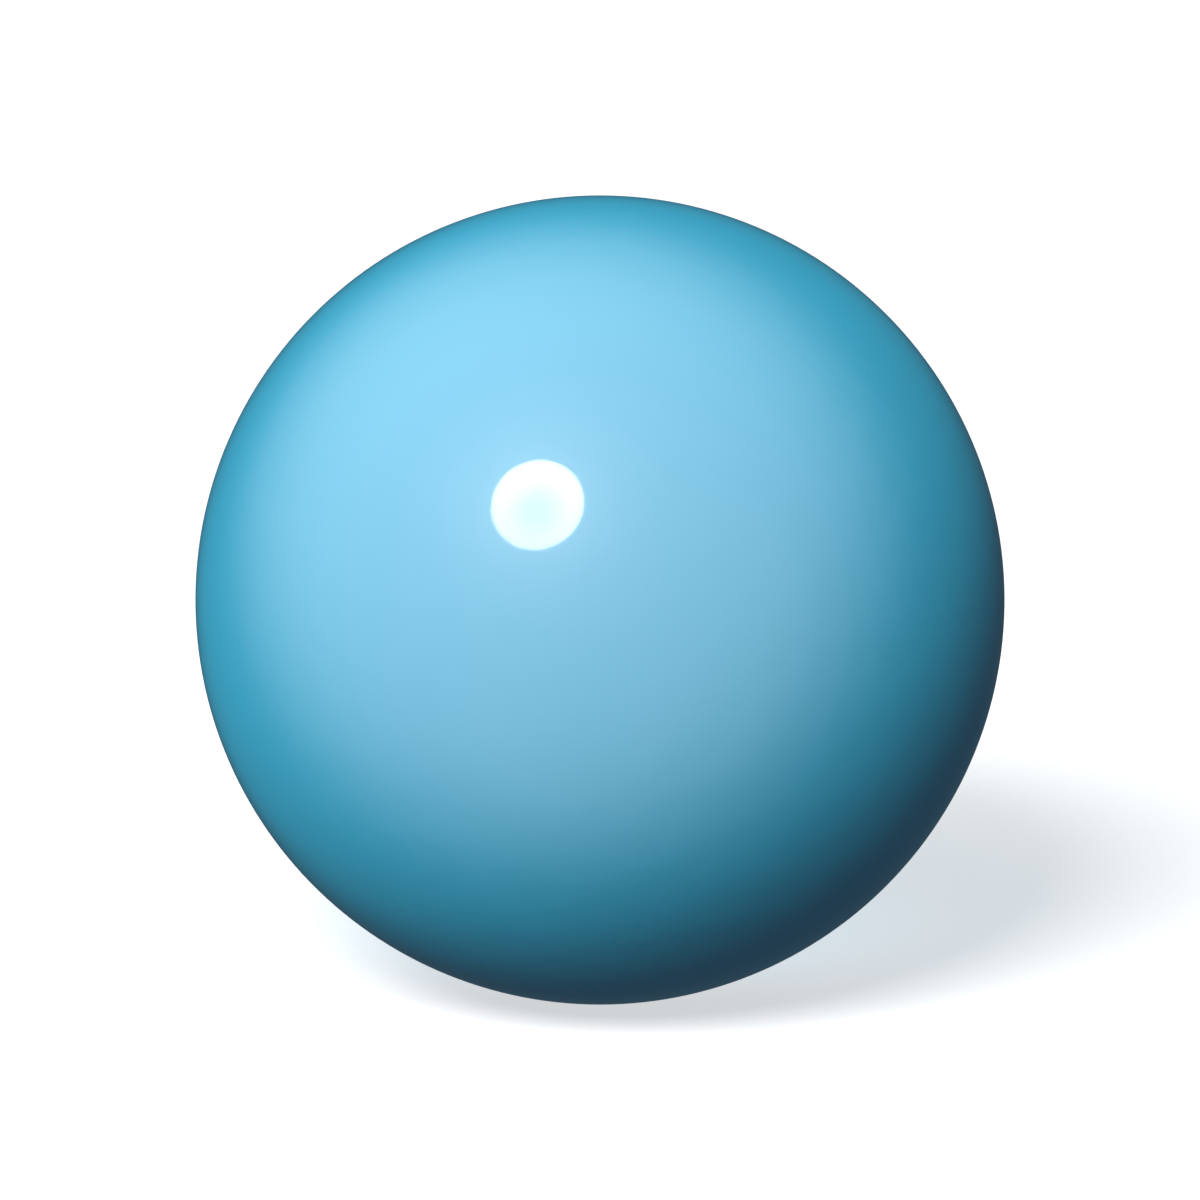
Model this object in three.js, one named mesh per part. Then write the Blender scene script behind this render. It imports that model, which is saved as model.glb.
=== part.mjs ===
// Rhythmic gymnastics ball, in millimetres, +Z up, origin at the centre of the ball.
//
// The ball is an airtight rubber bladder inside a thicker gloss rubber cover. One needle valve
// passes through both walls: a flanged seat that the air presses against the bladder from inside,
// and a self-sealing core that pushes into the seat from outside. The valve lies on the +Y axis,
// and every piece is a body of revolution about that axis.

import * as THREE from "three";

// Ball walls
const ballDiameter = 185;
const coverWall = 2.4;
const bladderWall = 0.9;
const portRound = 0.8; // rounding of the cover's edge at the valve's port

// Clearances
const fitGap = 0.3; // between pieces that are bonded to each other or seated on each other
const coreGap = 0.2; // around the core, which slides out of its seat

// Valve core
const needleHoleDiameter = 1.6;
const needleHoleDepth = 9;
const countersinkFlare = 0.8; // how much wider than the needle hole its mouth is, all round
const countersinkDepth = 0.8;
const sealLength = 6; // rubber beyond the needle hole, which closes on itself
const stemDiameter = 4.7;
const ribCount = 3;
const ribHeight = 0.25;
const ribWidth = 1.2;
const tipLength = 3.4;
const tipDiameter = 2.2;
const headLip = 1.2; // how far the head reaches past the seat's bore, all round
const headThickness = 1.6;
const headRound = 0.4;

// Valve seat
const faceDepth = 0.5; // how far the valve's face lies below the crown of the ball
const neckWall = 1.6; // around the core's head
const neckChamfer = 0.4;
const flangeWidth = 7.2; // how far the flange reaches past the neck, all round
const flangeRootThickness = 1.8;
const flangeEdgeThickness = 0.7;
const tailLength = 11.6;
const tailRootWall = 2;
const tailTipWall = 1.2;
const tailFillet = 1.5; // where the tail leaves the flange
const tailRound = 0.6;

// Facets
const shellSegments = 48;
const hemisphereRows = 12;
const valveSegments = 36;
const flangeRows = 5;
const roundSteps = 4;
const ribSteps = 4;

// Radii of the walls
const coverOuter = ballDiameter / 2;
const coverInner = coverOuter - coverWall;
const bladderOuter = coverInner - fitGap;
const bladderInner = bladderOuter - bladderWall;
const flangeSeat = bladderInner - fitGap;

// Radii of the valve, from the core's stem outwards, and its heights along the valve's axis
const stemRadius = stemDiameter / 2;
const boreRadius = stemRadius + ribHeight + coreGap;
const headRadius = boreRadius + headLip;
const recessRadius = headRadius + coreGap;
const neckRadius = recessRadius + neckWall;
const portRadius = neckRadius + fitGap;
const faceHeight = coverOuter - faceDepth;
const headUnderside = faceHeight - headThickness;

const point = (radius, height) => new THREE.Vector2(radius, height);

// A sphere about the origin: the tilt off the valve's axis at which it lies a given distance from that
// axis, its height along the axis there, and its point at a given tilt.
const tiltAt = (sphereRadius, distance) => Math.asin(distance / sphereRadius);
const heightAt = (sphereRadius, distance) => Math.sqrt(sphereRadius ** 2 - distance ** 2);
const onSphere = (radius, tilt) => point(radius * Math.sin(tilt), radius * Math.cos(tilt));

// Points on a circle of the profile plane, from one angle to the other, counted from the radius axis.
function arc(centre, radius, from, to, steps) {
  return Array.from({ length: steps + 1 }, (_, i) => {
    const angle = from + ((to - from) * i) / steps;
    return point(centre.x + radius * Math.cos(angle), centre.y + radius * Math.sin(angle));
  });
}

// Points on a sphere about the origin, from one tilt off the valve's axis to the other.
function sphereArc(radius, fromTilt, toTilt, steps) {
  return Array.from({ length: steps + 1 }, (_, i) =>
    onSphere(radius, fromTilt + ((toTilt - fromTilt) * i) / steps),
  );
}

// A wall's face from the point opposite the valve to the edge of the port, with a row of points
// on its widest circle.
function shellArc(radius, portTilt) {
  return [
    ...sphereArc(radius, Math.PI, Math.PI / 2, hemisphereRows),
    ...sphereArc(radius, Math.PI / 2, portTilt, hemisphereRows).slice(1),
  ];
}

function revolve(name, profile, segments, look) {
  const geometry = new THREE.LatheGeometry(profile, segments);
  const mesh = new THREE.Mesh(geometry, new THREE.MeshStandardMaterial(look));
  mesh.name = name;
  return mesh;
}

// Gloss cover: a hollow sphere, open only at the valve's port, whose outer edge is rounded.
function outerCover() {
  const roundOffset = portRadius + portRound;
  const roundCentre = point(roundOffset, heightAt(coverOuter - portRound, roundOffset));
  const rimTilt = tiltAt(coverOuter - portRound, roundOffset);
  const profile = [
    ...shellArc(coverOuter, rimTilt),
    ...arc(roundCentre, portRound, Math.PI / 2 - rimTilt, Math.PI, roundSteps).slice(1),
    ...shellArc(coverInner, tiltAt(coverInner, portRadius)).reverse(),
  ];
  return revolve("outer_cover", profile, shellSegments, {
    color: 0x5fb9e0,
    roughness: 0.12,
    metalness: 0,
  });
}

// Airtight bladder: a thinner hollow sphere that lines the cover.
function innerBladder() {
  const profile = [
    ...shellArc(bladderOuter, tiltAt(bladderOuter, portRadius)),
    ...shellArc(bladderInner, tiltAt(bladderInner, portRadius)).reverse(),
  ];
  return revolve("inner_bladder", profile, shellSegments, {
    color: 0x2b2b2d,
    roughness: 0.7,
    metalness: 0,
  });
}

// Valve seat: a neck that fills the port, a flange that lies against the bladder from inside and
// thins towards its edge, and a tapered tail. The bore is stepped to take the core's head.
function valveSeat() {
  const flangeTilt = tiltAt(flangeSeat, neckRadius + flangeWidth);
  const flangeUnderside = flangeSeat - flangeEdgeThickness;
  const flangeRoot = heightAt(flangeSeat, neckRadius) - flangeRootThickness;
  const tailRoot = boreRadius + tailRootWall;
  const tailTip = boreRadius + tailTipWall;
  const tailEnd = flangeRoot - tailLength;
  const filletCentre = point(tailRoot + tailFillet, flangeRoot - tailFillet);
  const roundCentre = point(tailTip - tailRound, tailEnd + tailRound);
  const recessFloor = headUnderside - fitGap;
  const profile = [
    point(boreRadius, tailEnd),
    ...arc(roundCentre, tailRound, -Math.PI / 2, 0, roundSteps),
    ...arc(filletCentre, tailFillet, Math.PI, Math.PI / 2, roundSteps),
    onSphere(flangeUnderside, flangeTilt),
    ...sphereArc(flangeSeat, flangeTilt, tiltAt(flangeSeat, neckRadius), flangeRows),
    point(neckRadius, faceHeight - neckChamfer),
    point(neckRadius - neckChamfer, faceHeight),
    point(recessRadius, faceHeight),
    point(recessRadius, recessFloor),
    point(boreRadius, recessFloor),
    point(boreRadius, tailEnd),
  ];
  return revolve("valve_seat", profile, valveSegments, {
    color: 0x4aa3cc,
    roughness: 0.45,
    metalness: 0,
  });
}

// Round-topped sealing ribs, spread evenly over the straight part of the core's stem.
function stemRibs(from, to) {
  const pitch = (to - from) / ribCount;
  return Array.from({ length: ribCount }, (_, rib) => {
    const start = from + pitch * (rib + 0.5) - ribWidth / 2;
    return Array.from({ length: ribSteps + 1 }, (_, step) => {
      const share = step / ribSteps;
      return point(stemRadius + ribHeight * Math.sin(Math.PI * share), start + ribWidth * share);
    });
  }).flat();
}

// Valve core: a flat head level with the seat's face, a ribbed stem and a tapered tip. A countersunk
// hole leads the pump's needle in, and the rubber beyond it closes on itself.
function valveCore() {
  const holeRadius = needleHoleDiameter / 2;
  const holeEnd = faceHeight - needleHoleDepth;
  const tipEnd = holeEnd - sealLength;
  const stemStart = tipEnd + tipLength;
  const roundCentre = point(headRadius - headRound, faceHeight - headRound);
  const profile = [
    point(0, tipEnd),
    point(tipDiameter / 2, tipEnd),
    point(stemRadius, stemStart),
    ...stemRibs(stemStart, headUnderside),
    point(stemRadius, headUnderside),
    point(headRadius, headUnderside),
    ...arc(roundCentre, headRound, 0, Math.PI / 2, roundSteps),
    point(holeRadius + countersinkFlare, faceHeight),
    point(holeRadius, faceHeight - countersinkDepth),
    point(holeRadius, holeEnd),
    point(0, holeEnd),
  ];
  return revolve("valve_core", profile, valveSegments, {
    color: 0xe9ebe8,
    roughness: 0.5,
    metalness: 0,
  });
}

const ball = new THREE.Group();
ball.add(outerCover(), innerBladder(), valveSeat(), valveCore());

export default ball;
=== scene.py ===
import math

import bmesh
import bpy
from mathutils import Matrix, Vector


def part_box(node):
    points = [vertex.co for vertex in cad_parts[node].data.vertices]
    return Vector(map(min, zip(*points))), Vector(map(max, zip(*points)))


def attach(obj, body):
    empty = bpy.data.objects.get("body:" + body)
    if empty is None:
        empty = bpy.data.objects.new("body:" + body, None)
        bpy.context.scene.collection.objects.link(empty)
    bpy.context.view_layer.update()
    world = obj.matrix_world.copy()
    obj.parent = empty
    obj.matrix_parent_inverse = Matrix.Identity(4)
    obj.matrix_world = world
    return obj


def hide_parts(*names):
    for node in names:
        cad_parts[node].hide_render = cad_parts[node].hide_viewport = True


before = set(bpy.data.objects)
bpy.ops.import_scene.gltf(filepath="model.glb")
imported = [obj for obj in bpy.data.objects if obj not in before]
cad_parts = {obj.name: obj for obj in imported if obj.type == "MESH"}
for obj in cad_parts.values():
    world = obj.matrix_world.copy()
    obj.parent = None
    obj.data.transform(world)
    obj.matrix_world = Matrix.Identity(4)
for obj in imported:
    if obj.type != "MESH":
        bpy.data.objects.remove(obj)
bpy.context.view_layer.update()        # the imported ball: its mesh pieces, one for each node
print("frame loaded:", sorted(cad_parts))

mm = 0.001               # sizes below are in millimetres, the scene is in metres
scene = bpy.context.scene
scene.view_settings.view_transform = "Standard"

# The valve's axis is +Y. Pieces are drawn as half profiles in the XY plane, with x as the distance
# from that axis, and turned round it.
coverBox, bladderBox, seatBox, coreBox = (
    [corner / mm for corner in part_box(node)]
    for node in ("outer_cover", "inner_bladder", "valve_seat", "valve_core")
)
ballRadius = coverBox[1].x
fitGap = 0.3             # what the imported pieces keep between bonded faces
mergeGap = 0.001         # vertices nearer than this are one
ringReach = 0.01         # how far a vertex may lie from the ring that is asked for
creaseAngle = math.radians(40)    # edges that turn further than this stay crisp


# drawing a profile: each call takes the pen's vertex and returns the next one

def penAt(bm, radius, height):
    return bm.verts.new((radius, height, 0))


def lineTo(bm, pen, radius, height):
    nextPen = bmesh.ops.extrude_vert_indiv(bm, verts=[pen])["verts"][0]
    nextPen.co = (radius, height, 0)
    return nextPen


def arcTo(bm, pen, angle, steps, centre=(0, 0)):
    swept = bmesh.ops.spin(
        bm, geom=[pen], cent=(*centre, 0), axis=(0, 0, 1), dvec=(0, 0, 0),
        angle=angle, steps=steps, use_merge=False, use_duplicate=False,
    )
    return next(item for item in swept["geom_last"] if isinstance(item, bmesh.types.BMVert))


def turnRound(bm, segments):
    bmesh.ops.spin(
        bm, geom=bm.verts[:] + bm.edges[:], cent=(0, 0, 0), axis=(0, 1, 0), dvec=(0, 0, 0),
        angle=math.tau, steps=segments, use_merge=True, use_duplicate=False,
    )
    bmesh.ops.remove_doubles(bm, verts=bm.verts, dist=mergeGap)
    bmesh.ops.recalc_face_normals(bm, faces=bm.faces)


def ringAt(bm, radius, height):
    def onRing(vert):
        offRadius = abs(math.hypot(vert.co.x, vert.co.z) - radius)
        return max(offRadius, abs(vert.co.y - height)) < ringReach
    return [edge for edge in bm.edges if all(onRing(vert) for vert in edge.verts)]


def roundRing(bm, radius, height, size, segments=4):
    ring = ringAt(bm, radius, height)
    if not ring:
        raise ValueError(f"no ring of edges at radius {radius} and height {height}")
    bmesh.ops.bevel(
        bm, geom=ring, offset=size, offset_type="OFFSET", affect="EDGES", segments=segments,
        profile=0.5, material=-1, clamp_overlap=True,
    )


def meshObject(bm, name, material):
    bmesh.ops.scale(bm, vec=(mm, mm, mm), verts=bm.verts)
    for face in bm.faces:
        face.smooth = True
    mesh = bpy.data.meshes.new(name)
    bm.to_mesh(mesh)
    bm.free()
    mesh.set_sharp_from_angle(angle=creaseAngle)
    mesh.materials.append(material)
    made = bpy.data.objects.new(name, mesh)
    scene.collection.objects.link(made)
    return made


def makePiece(bm, name, material, body, node):
    piece = meshObject(bm, name, material)
    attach(piece, body)
    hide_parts(node)
    print(f"{name}: {len(piece.data.polygons)} faces")
    return piece


# shader maths: a socket that takes part in sums, and one method that adds any node

class Flow:
    def __init__(self, tree, socket=None):
        self.tree = tree
        self.socket = socket

    def node(self, kind, settings=None, inputs=None, output=0):
        made = self.tree.nodes.new(kind)
        for name, value in (settings or {}).items():
            setattr(made, name, value)
        for key, value in (inputs or {}).items():
            if isinstance(value, Flow):
                self.tree.links.new(value.socket, made.inputs[key])
            else:
                made.inputs[key].default_value = value
        return Flow(self.tree, None if output is None else made.outputs[output])

    def math(self, operation, first, second):
        return self.node("ShaderNodeMath", {"operation": operation}, {0: first, 1: second})

    def __add__(self, other):
        return self.math("ADD", self, other)

    def __radd__(self, other):
        return self.math("ADD", other, self)

    def __sub__(self, other):
        return self.math("SUBTRACT", self, other)

    def __rsub__(self, other):
        return self.math("SUBTRACT", other, self)

    def __mul__(self, other):
        return self.math("MULTIPLY", self, other)

    def __rmul__(self, other):
        return self.math("MULTIPLY", other, self)


def newMaterial(name):
    material = bpy.data.materials.new(name)
    material.use_nodes = True
    tree = material.node_tree
    tree.nodes.clear()
    return material, Flow(tree)


def place(flow):
    return flow.node("ShaderNodeTexCoord", output="Object")


def fromAxis(flow):
    across = flow.node("ShaderNodeVectorMath", {"operation": "MULTIPLY"}, {0: place(flow), 1: (1, 0, 1)})
    return flow.node("ShaderNodeVectorMath", {"operation": "LENGTH"}, {0: across}, output="Value")


def noise(flow, size, detail=2.0, roughness=0.5, distortion=0.0):
    # size is the width of the blotches in millimetres; a piece's noise values come in this order
    return flow.node("ShaderNodeTexNoise", {}, {
        "Vector": place(flow), "Scale": 1 / (size * mm), "Detail": detail,
        "Roughness": roughness, "Distortion": distortion,
    }, output="Fac")


def spread(flow, value, low, high, toLow=0.0, toHigh=1.0):
    return flow.node("ShaderNodeMapRange", {"interpolation_type": "SMOOTHSTEP"}, {
        "Value": value, "From Min": low, "From Max": high, "To Min": toLow, "To Max": toHigh,
    }, output="Result")


def blendColour(flow, share, first, second):
    return flow.node("ShaderNodeMix", {"data_type": "RGBA"}, {0: share, 6: first, 7: second}, output=2)


def surface(flow, shader):
    flow.node("ShaderNodeOutputMaterial", {}, {"Surface": shader}, output=None)


grain = {                # of the satin rubber in the valve
    "strength": 0.2,
    "height": 0.1,
}


def grainBump(flow, size):
    return flow.node("ShaderNodeBump", {}, {
        "Strength": grain["strength"], "Distance": grain["height"] * mm, "Height": noise(flow, size),
    })


# gloss cover

cover = {
    "wall": 2.4,
    "portRadius": 6.1,
    "portRound": 0.8,
    "mouldLineWidth": 1.2,    # faint raised line where the two halves of the mould met
    "mouldLineHeight": 0.016,
    "mouldLineSteps": 2,      # on either side of its crest
    "rows": 72,               # from either pole to the mould line
    "segments": 224,
    "portRoundSteps": 6,
    "blue": (0.046, 0.468, 0.688, 1),
    "blueDeep": (0.041, 0.452, 0.664, 1),
    "pigmentNoise": (38, 3.0),
    "pigmentRoughness": 0.06,     # how far roughness drifts with the pigment
    "chalkiness": 0.75,
    "rubberRoughness": 0.5,
    "lustre": 0.265,              # share of a pale lustre that is mixed with the gloss rubber
    "lustreFade": (0.5, 1.1),     # it fades as the surface turns away from the eye
    "lustreColour": (0.84, 0.95, 1, 1),
    "lustreRoughness": 0.82,
    "coatRoughness": 0.055,
    "coatIor": 1.4,
    "handlingNoise": (21, 4.0, 0.6, 0.8),
    "handlingRange": (0.5, 0.75),
    "handlingLoss": 0.06,         # gloss that hands have rubbed off
    "rippleNoise": (14.0, 1.0),   # slow waves that the mould leaves in the gloss
    "rippleHeight": 0.11,
    "dimpleNoise": (2.2, 2.0),    # and its fine dimples
    "dimpleHeight": 0.006,
}


def coverMaterial():
    material, flow = newMaterial("cover gloss rubber")
    pigment = noise(flow, *cover["pigmentNoise"])
    handling = spread(flow, noise(flow, *cover["handlingNoise"]), *cover["handlingRange"])
    ripple = cover["rippleHeight"] * noise(flow, *cover["rippleNoise"])
    dimples = cover["dimpleHeight"] * noise(flow, *cover["dimpleNoise"])
    skin = flow.node("ShaderNodeBump", {}, {"Strength": 1, "Distance": mm, "Height": ripple + dimples})
    rubber = flow.node("ShaderNodeBsdfPrincipled", {}, {
        "Base Color": blendColour(flow, pigment, cover["blue"], cover["blueDeep"]),
        "Diffuse Roughness": cover["chalkiness"],
        "Roughness": cover["rubberRoughness"] + cover["pigmentRoughness"] * (pigment - 0.5),
        "Coat Weight": 1 - cover["handlingLoss"] * handling,
        "Coat Roughness": cover["coatRoughness"],
        "Coat IOR": cover["coatIor"],
        "Normal": skin,
    })
    lustre = flow.node("ShaderNodeBsdfAnisotropic", {"distribution": "BECKMANN"}, {
        "Color": cover["lustreColour"], "Roughness": cover["lustreRoughness"], "Normal": skin,
    })
    turned = flow.node("ShaderNodeLayerWeight", output="Facing")
    share = spread(flow, turned, *cover["lustreFade"], cover["lustre"], 0)
    surface(flow, flow.node("ShaderNodeMixShader", {}, {0: share, 1: rubber, 2: lustre}))
    return material


def makeCover():
    inner = ballRadius - cover["wall"]
    port = cover["portRadius"]
    rimHeight = math.sqrt(ballRadius ** 2 - port ** 2)
    innerRim = math.sqrt(inner ** 2 - port ** 2)
    lineHalf = cover["mouldLineWidth"] / 2 / ballRadius
    rimTurn = math.pi / 2 - math.asin(port / ballRadius) - lineHalf
    bm = bmesh.new()
    pen = penAt(bm, 0, -ballRadius)
    pen = arcTo(bm, pen, math.pi / 2 - lineHalf, cover["rows"])
    crest = arcTo(bm, pen, lineHalf, cover["mouldLineSteps"])
    pen = arcTo(bm, crest, lineHalf, cover["mouldLineSteps"])
    crest.co *= 1 + cover["mouldLineHeight"] / ballRadius
    pen = arcTo(bm, pen, rimTurn, cover["rows"])
    pen = lineTo(bm, pen, port, innerRim)
    arcTo(bm, pen, -(math.pi - math.asin(port / inner)), cover["rows"])
    turnRound(bm, cover["segments"])
    roundRing(bm, port, rimHeight, cover["portRound"], cover["portRoundSteps"])
    return makePiece(bm, "cover", coverMaterial(), "ball", "outer_cover")


# airtight bladder inside the cover

bladder = {
    "wall": 0.9,
    "rows": 48,
    "segments": 96,
    "black": (0.022, 0.022, 0.025, 1),
    "talc": (0.16, 0.16, 0.155, 1),    # powder that keeps it from sticking in the mould
    "talcNoise": (9, 5.0, 0.65, 0.4),
    "talcRange": (0.45, 0.8),
    "talcCover": 0.6,
    "roughness": 0.55,
    "talcRoughness": 0.3,              # what the powder adds to it
}


def bladderMaterial():
    material, flow = newMaterial("bladder black rubber")
    dust = spread(flow, noise(flow, *bladder["talcNoise"]), *bladder["talcRange"])
    shader = flow.node("ShaderNodeBsdfPrincipled", {}, {
        "Base Color": blendColour(flow, bladder["talcCover"] * dust, bladder["black"], bladder["talc"]),
        "Roughness": bladder["roughness"] + bladder["talcRoughness"] * dust,
    })
    surface(flow, shader)
    return material


def makeBladder():
    outer = bladderBox[1].x
    inner = outer - bladder["wall"]
    port = cover["portRadius"]
    bm = bmesh.new()
    pen = penAt(bm, 0, -outer)
    pen = arcTo(bm, pen, math.pi - math.asin(port / outer), bladder["rows"])
    pen = lineTo(bm, pen, port, math.sqrt(inner ** 2 - port ** 2))
    arcTo(bm, pen, -(math.pi - math.asin(port / inner)), bladder["rows"])
    turnRound(bm, bladder["segments"])
    return makePiece(bm, "bladder", bladderMaterial(), "ball", "inner_bladder")


# valve seat: neck, flange and tail

seat = {
    "boreRadius": 2.8,
    "recessRadius": 4.2,
    "recessDepth": 1.9,
    "neckRadius": 5.8,
    "flangeRootThickness": 1.8,
    "flangeEdgeThickness": 0.7,
    "tailRootRadius": 4.8,
    "tailTipRadius": 4.0,
    "neckRound": 0.4,
    "recessRound": 0.15,
    "stepRound": 0.2,         # where the recess meets the bore
    "tailRound": 0.6,
    "tailFillet": 1.2,
    "tailFilletSteps": 6,
    "flangeSteps": 8,
    "segments": 96,
    "blue": (0.05, 0.30, 0.56, 1),
    "blueWorn": (0.09, 0.38, 0.63, 1),
    "wearNoise": (1.6, 4.0, 0.6),
    "wearRange": (0.4, 0.7),
    "roughness": 0.4,
    "wornRoughness": 0.15,    # what wear adds to it
    "grainSize": 0.35,
}


def seatMaterial():
    material, flow = newMaterial("seat satin rubber")
    wear = spread(flow, noise(flow, *seat["wearNoise"]), *seat["wearRange"])
    shader = flow.node("ShaderNodeBsdfPrincipled", {}, {
        "Base Color": blendColour(flow, wear, seat["blue"], seat["blueWorn"]),
        "Roughness": seat["roughness"] + seat["wornRoughness"] * wear,
        "Normal": grainBump(flow, seat["grainSize"]),
    })
    surface(flow, shader)
    return material


def makeSeat():
    face = seatBox[1].y
    tailEnd = seatBox[0].y
    flangeRadius = seatBox[1].x
    flangeSphere = bladderBox[1].x - bladder["wall"] - fitGap
    neck = seat["neckRadius"]
    neckTilt = math.asin(neck / flangeSphere)
    flangeTilt = math.asin(flangeRadius / flangeSphere)
    flangeUnder = flangeSphere - seat["flangeEdgeThickness"]
    flangeRoot = math.sqrt(flangeSphere ** 2 - neck ** 2) - seat["flangeRootThickness"]
    recessFloor = face - seat["recessDepth"]
    bm = bmesh.new()
    start = penAt(bm, seat["boreRadius"], tailEnd)
    pen = lineTo(bm, start, seat["tailTipRadius"], tailEnd)
    pen = lineTo(bm, pen, seat["tailRootRadius"], flangeRoot)
    pen = lineTo(bm, pen, flangeUnder * math.sin(flangeTilt), flangeUnder * math.cos(flangeTilt))
    pen = lineTo(bm, pen, flangeRadius, math.sqrt(flangeSphere ** 2 - flangeRadius ** 2))
    pen = arcTo(bm, pen, flangeTilt - neckTilt, seat["flangeSteps"])
    pen = lineTo(bm, pen, neck, face)
    pen = lineTo(bm, pen, seat["recessRadius"], face)
    pen = lineTo(bm, pen, seat["recessRadius"], recessFloor)
    pen = lineTo(bm, pen, seat["boreRadius"], recessFloor)
    bm.edges.new((pen, start))
    turnRound(bm, seat["segments"])
    roundRing(bm, neck, face, seat["neckRound"])
    roundRing(bm, seat["recessRadius"], face, seat["recessRound"])
    roundRing(bm, seat["boreRadius"], recessFloor, seat["stepRound"])
    roundRing(bm, seat["tailTipRadius"], tailEnd, seat["tailRound"])
    roundRing(bm, seat["tailRootRadius"], flangeRoot, seat["tailFillet"], seat["tailFilletSteps"])
    return makePiece(bm, "valve_seat_ring", seatMaterial(), "ball", "valve_seat")


# valve core: head with the needle hole, ribbed stem, tapered tip

core = {
    "headThickness": 1.6,
    "headRound": 0.4,
    "underHeadRound": 0.2,
    "stemRadius": 2.35,
    "ribHeight": 0.25,
    "ribWidth": 1.2,
    "ribCount": 3,
    "ribSteps": 10,
    "tipLength": 3.4,
    "tipRadius": 1.1,
    "tipRound": 0.35,
    "needleHoleRadius": 0.8,
    "needleHoleDepth": 9.0,
    "needleHoleRound": 0.3,
    "countersinkRadius": 1.6,
    "countersinkDepth": 0.8,
    "countersinkRound": 0.25,
    "segments": 72,
    "white": (0.63, 0.65, 0.63, 1),
    "grime": (0.24, 0.245, 0.24, 1),
    "grimeNoise": (1.8, 5.0, 0.65, 0.6),
    "grimeRange": (0.4, 0.7),
    "grimeAll": 0.12,         # its share all over
    "grimeAtHole": 0.5,       # and more round the hole, from the pump's needle
    "grimeReach": 2.6,
    "roughness": 0.42,
    "grimeRoughness": 0.2,    # what grime adds to it
    "grainSize": 0.3,
}


def coreMaterial():
    material, flow = newMaterial("core white rubber")
    blotch = spread(flow, noise(flow, *core["grimeNoise"]), *core["grimeRange"])
    nearHole = spread(flow, fromAxis(flow), core["needleHoleRadius"] * mm, core["grimeReach"] * mm, 1, 0)
    grime = blotch * (core["grimeAll"] + core["grimeAtHole"] * nearHole)
    shader = flow.node("ShaderNodeBsdfPrincipled", {}, {
        "Base Color": blendColour(flow, grime, core["white"], core["grime"]),
        "Roughness": core["roughness"] + core["grimeRoughness"] * blotch,
        "Normal": grainBump(flow, core["grainSize"]),
    })
    surface(flow, shader)
    return material


def makeCore():
    face = coreBox[1].y
    tip = coreBox[0].y
    headRadius = coreBox[1].x
    underHead = face - core["headThickness"]
    hole = core["needleHoleRadius"]
    holeTop = face - core["countersinkDepth"]
    holeEnd = face - core["needleHoleDepth"]
    stemStart = tip + core["tipLength"]
    stem = core["stemRadius"]
    ribPitch = (underHead - stemStart) / core["ribCount"]
    halfRib = core["ribWidth"] / 2
    ribRadius = (halfRib ** 2 + core["ribHeight"] ** 2) / (2 * core["ribHeight"])
    ribTurn = 2 * math.asin(halfRib / ribRadius)
    bm = bmesh.new()
    pen = penAt(bm, 0, tip)
    pen = lineTo(bm, pen, core["tipRadius"], tip)
    pen = lineTo(bm, pen, stem, stemStart)
    for rib in range(core["ribCount"]):
        middle = stemStart + ribPitch * (rib + 0.5)
        pen = lineTo(bm, pen, stem, middle - halfRib)
        ribCentre = (stem + core["ribHeight"] - ribRadius, middle)
        pen = arcTo(bm, pen, ribTurn, core["ribSteps"], ribCentre)
    pen = lineTo(bm, pen, stem, underHead)
    pen = lineTo(bm, pen, headRadius, underHead)
    pen = lineTo(bm, pen, headRadius, face)
    pen = lineTo(bm, pen, core["countersinkRadius"], face)
    pen = lineTo(bm, pen, hole, holeTop)
    pen = lineTo(bm, pen, hole, holeEnd)
    lineTo(bm, pen, 0, holeEnd)
    turnRound(bm, core["segments"])
    roundRing(bm, headRadius, face, core["headRound"])
    roundRing(bm, headRadius, underHead, core["underHeadRound"])
    roundRing(bm, core["countersinkRadius"], face, core["countersinkRound"])
    roundRing(bm, hole, holeTop, core["needleHoleRound"])
    roundRing(bm, core["tipRadius"], tip, core["tipRound"])
    return makePiece(bm, "needle_core", coreMaterial(), "core", "valve_core")


ballPieces = [makeCover(), makeBladder(), makeSeat(), makeCore()]

# camera: looks slightly down on the ball, which fills two thirds of the photograph's frame

view = {
    "elevation": 8.0,
    "lens": 100.0,
    "imageSize": 1200,
    "ballRadiusPixels": 404.7,
}


def makeCamera():
    data = bpy.data.cameras.new("camera")
    data.lens = view["lens"]
    camera = bpy.data.objects.new("camera", data)
    scene.collection.objects.link(camera)
    scene.camera = camera
    halfFrame = data.sensor_width / 2 / data.lens
    limb = math.atan(view["ballRadiusPixels"] / (view["imageSize"] / 2) * halfFrame)
    distance = ballRadius * mm / math.sin(limb)
    tilt = math.radians(view["elevation"])
    back = Vector((0, -math.cos(tilt), math.sin(tilt)))
    camera.location = back * distance
    camera.rotation_euler = (-back).to_track_quat("-Z", "Y").to_euler()
    print(f"camera: {distance:.3f} m from the ball")
    return camera


def mirrorAt(camera, pixel):
    # the point of the ball at a pixel, and the direction that its gloss shows there
    half = view["imageSize"] / 2
    scale = camera.data.sensor_width / 2 / camera.data.lens / half
    turn = camera.rotation_euler.to_matrix()
    ray = turn @ Vector(((pixel[0] - half) * scale, (half - pixel[1]) * scale, -1))
    ray.normalize()
    along = -camera.location.dot(ray)
    miss = camera.location.length_squared - along ** 2
    point = camera.location + ray * (along - math.sqrt((ballRadius * mm) ** 2 - miss))
    return point, ray.reflect(point.normalized())


camera = makeCamera()

# studio: a round key lamp whose mirror image is the highlight, lamps straight behind, a dim room

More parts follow.
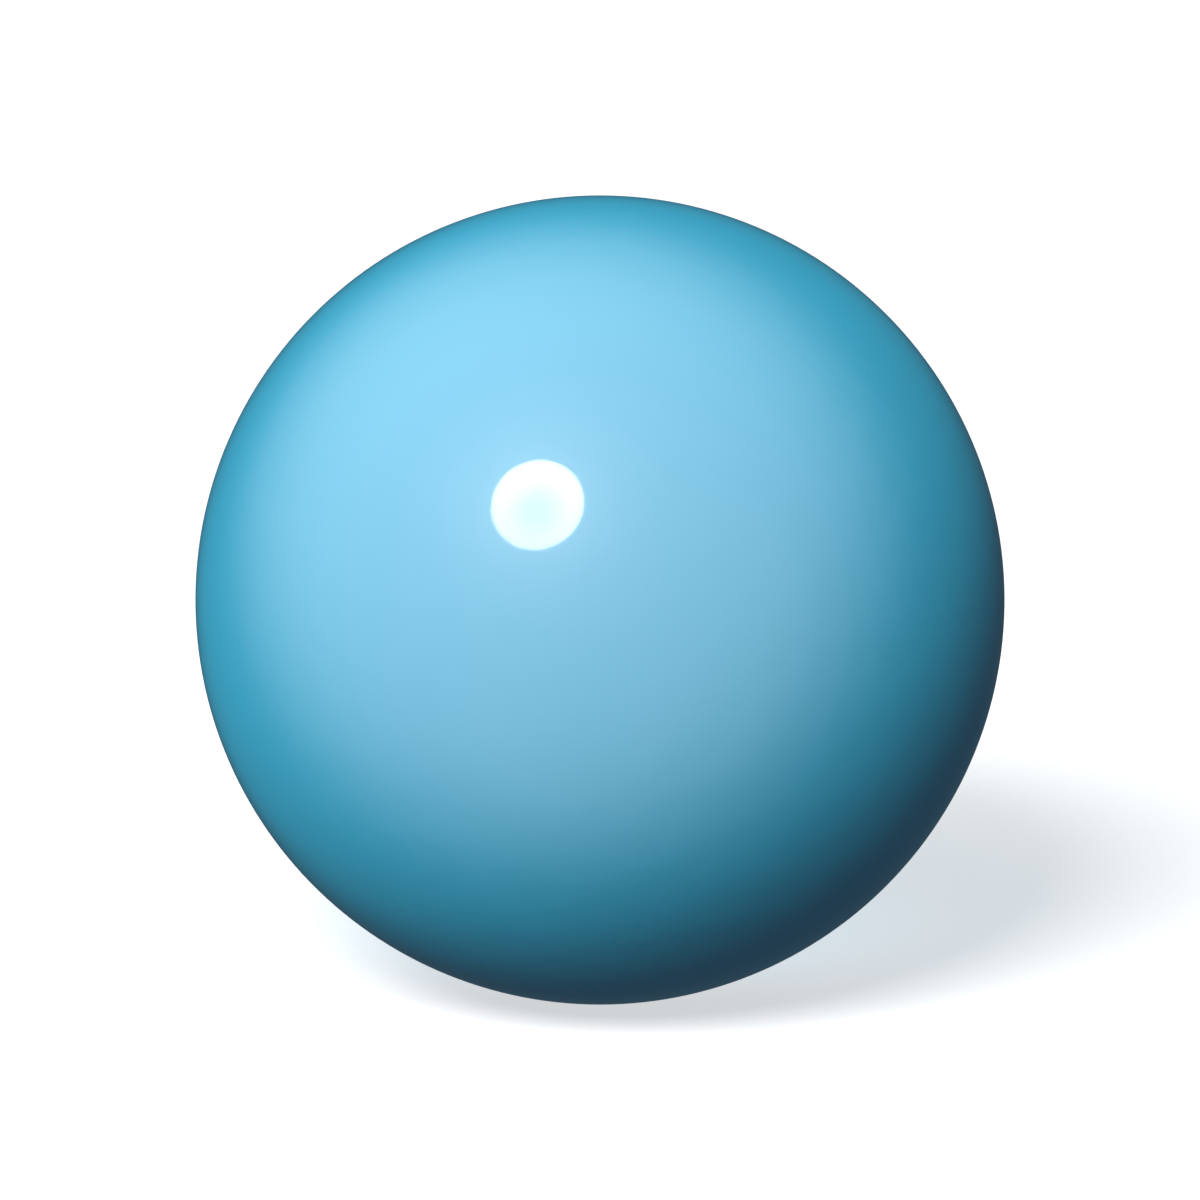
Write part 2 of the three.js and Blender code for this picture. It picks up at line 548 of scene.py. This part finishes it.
studio = {
    "highlightPixel": (537.1, 504.5),
    "keyDistance": 1000.0,
    "keyRadius": 227.0,
    "keyWatts": 17.4,
    "shieldLevel": 0.6,        # a round shield in the middle of the dish dims it, with soft edges
    "shieldShare": (0.15, 0.75),
    "shieldDrop": 0.04,
    "footLevel": 0.76,         # and the dish is dimmer at its foot
    "footReach": 0.8,          # up to this share of its height
    "backDistance": 1100.0,    # straight behind, where the ball keeps its light off the photograph's side
    "backRadius": 90.0,
    "backWatts": 15.0,         # for the rubber
    "glintWatts": 7.0,         # for the gloss and the lustre
    "room": (0.04, 0.072, 0.098, 1),
}


def discLamp(name, radius, watts, location, target):
    data = bpy.data.lights.new(name, "AREA")
    data.shape = "DISK"
    data.size = 2 * radius * mm
    data.energy = watts
    lamp = bpy.data.objects.new(name, data)
    scene.collection.objects.link(lamp)
    lamp.location = location
    lamp.rotation_euler = (target - location).to_track_quat("-Z", "Y").to_euler()
    lamp.visible_camera = False
    return lamp


def shieldLamp(lamp):
    lamp.use_nodes = True
    flow = Flow(lamp.node_tree)
    flow.tree.nodes.clear()
    onDish = flow.node("ShaderNodeNewGeometry", output="Parametric")
    fromShield = flow.node("ShaderNodeVectorMath", {"operation": "DISTANCE"}, {
        0: onDish, 1: (0.5, 0.5 - studio["shieldDrop"], 0),
    }, output="Value")
    start, end = studio["shieldShare"]
    shield = spread(flow, fromShield, start / 2, end / 2, studio["shieldLevel"], 1)
    height = flow.node("ShaderNodeSeparateXYZ", {}, {0: onDish}, output="Y")
    light = flow.node("ShaderNodeEmission", {}, {
        "Color": shield * spread(flow, height, 0, studio["footReach"], studio["footLevel"], 1),
    })
    flow.node("ShaderNodeOutputLight", {}, {"Surface": light}, output=None)


def makeLights():
    mirror, outward = mirrorAt(camera, studio["highlightPixel"])
    keyPlace = mirror + outward * studio["keyDistance"] * mm
    key = discLamp("key lamp", studio["keyRadius"], studio["keyWatts"], keyPlace, mirror)
    shieldLamp(key.data)
    backPlace = -camera.location.normalized() * studio["backDistance"] * mm
    back = discLamp("back lamp", studio["backRadius"], studio["backWatts"], backPlace, Vector())
    back.visible_glossy = False
    glint = discLamp("glint lamp", studio["backRadius"], studio["glintWatts"], backPlace, Vector())
    glint.visible_diffuse = False
    lit = bpy.data.collections.new("lit from behind")
    for piece in ballPieces:
        lit.objects.link(piece)
    for lamp in (back, glint):
        lamp.light_linking.receiver_collection = lit
    world = bpy.data.worlds.new("dim room")
    world.use_nodes = True
    world.node_tree.nodes["Background"].inputs["Color"].default_value = studio["room"]
    scene.world = world
    print(f"lights: key lamp at {[round(axis, 3) for axis in keyPlace]}")


makeLights()

# white floor that sweeps up into the backdrop all round; only the camera sees it

sweep = {
    "floorRadius": 1500.0,
    "cornerRadius": 1000.0,
    "wallHeight": 2500.0,
    "cornerSteps": 24,
    "segments": 96,
    "paint": (0.8, 0.8, 0.8, 1),
    "glowNear": 0.62,     # share of the white that isn't lost in the ball's shadow
    "glowFar": 1.0,
    "nearEnd": 150.0,
    "farStart": 500.0,
}


def sweepMaterial():
    material, flow = newMaterial("white sweep")
    distance = flow.node(
        "ShaderNodeVectorMath", {"operation": "LENGTH"}, {0: place(flow)}, output="Value",
    )
    glow = spread(flow, distance, sweep["nearEnd"] * mm, sweep["farStart"] * mm,
                  sweep["glowNear"], sweep["glowFar"])
    paint = flow.node("ShaderNodeBsdfDiffuse", {}, {"Color": sweep["paint"]})
    light = flow.node("ShaderNodeEmission", {}, {"Color": glow})
    surface(flow, flow.node("ShaderNodeAddShader", {}, {0: paint, 1: light}))
    material.cycles.emission_sampling = "NONE"
    return material


def makeSweep():
    ground = -ballRadius
    corner = sweep["cornerRadius"]
    bm = bmesh.new()
    pen = penAt(bm, 0, ground)
    pen = lineTo(bm, pen, sweep["floorRadius"], ground)
    pen = arcTo(bm, pen, math.pi / 2, sweep["cornerSteps"], (sweep["floorRadius"], ground + corner))
    lineTo(bm, pen, sweep["floorRadius"] + corner, ground + corner + sweep["wallHeight"])
    turnRound(bm, sweep["segments"])
    upright = Matrix.Rotation(math.pi / 2, 3, "X")
    bmesh.ops.rotate(bm, cent=(0, 0, 0), matrix=upright, verts=bm.verts)
    floor = meshObject(bm, "sweep", sweepMaterial())
    floor.visible_diffuse = False
    floor.visible_glossy = False
    floor.visible_transmission = False
    floor.visible_shadow = False
    print("sweep laid")


makeSweep()
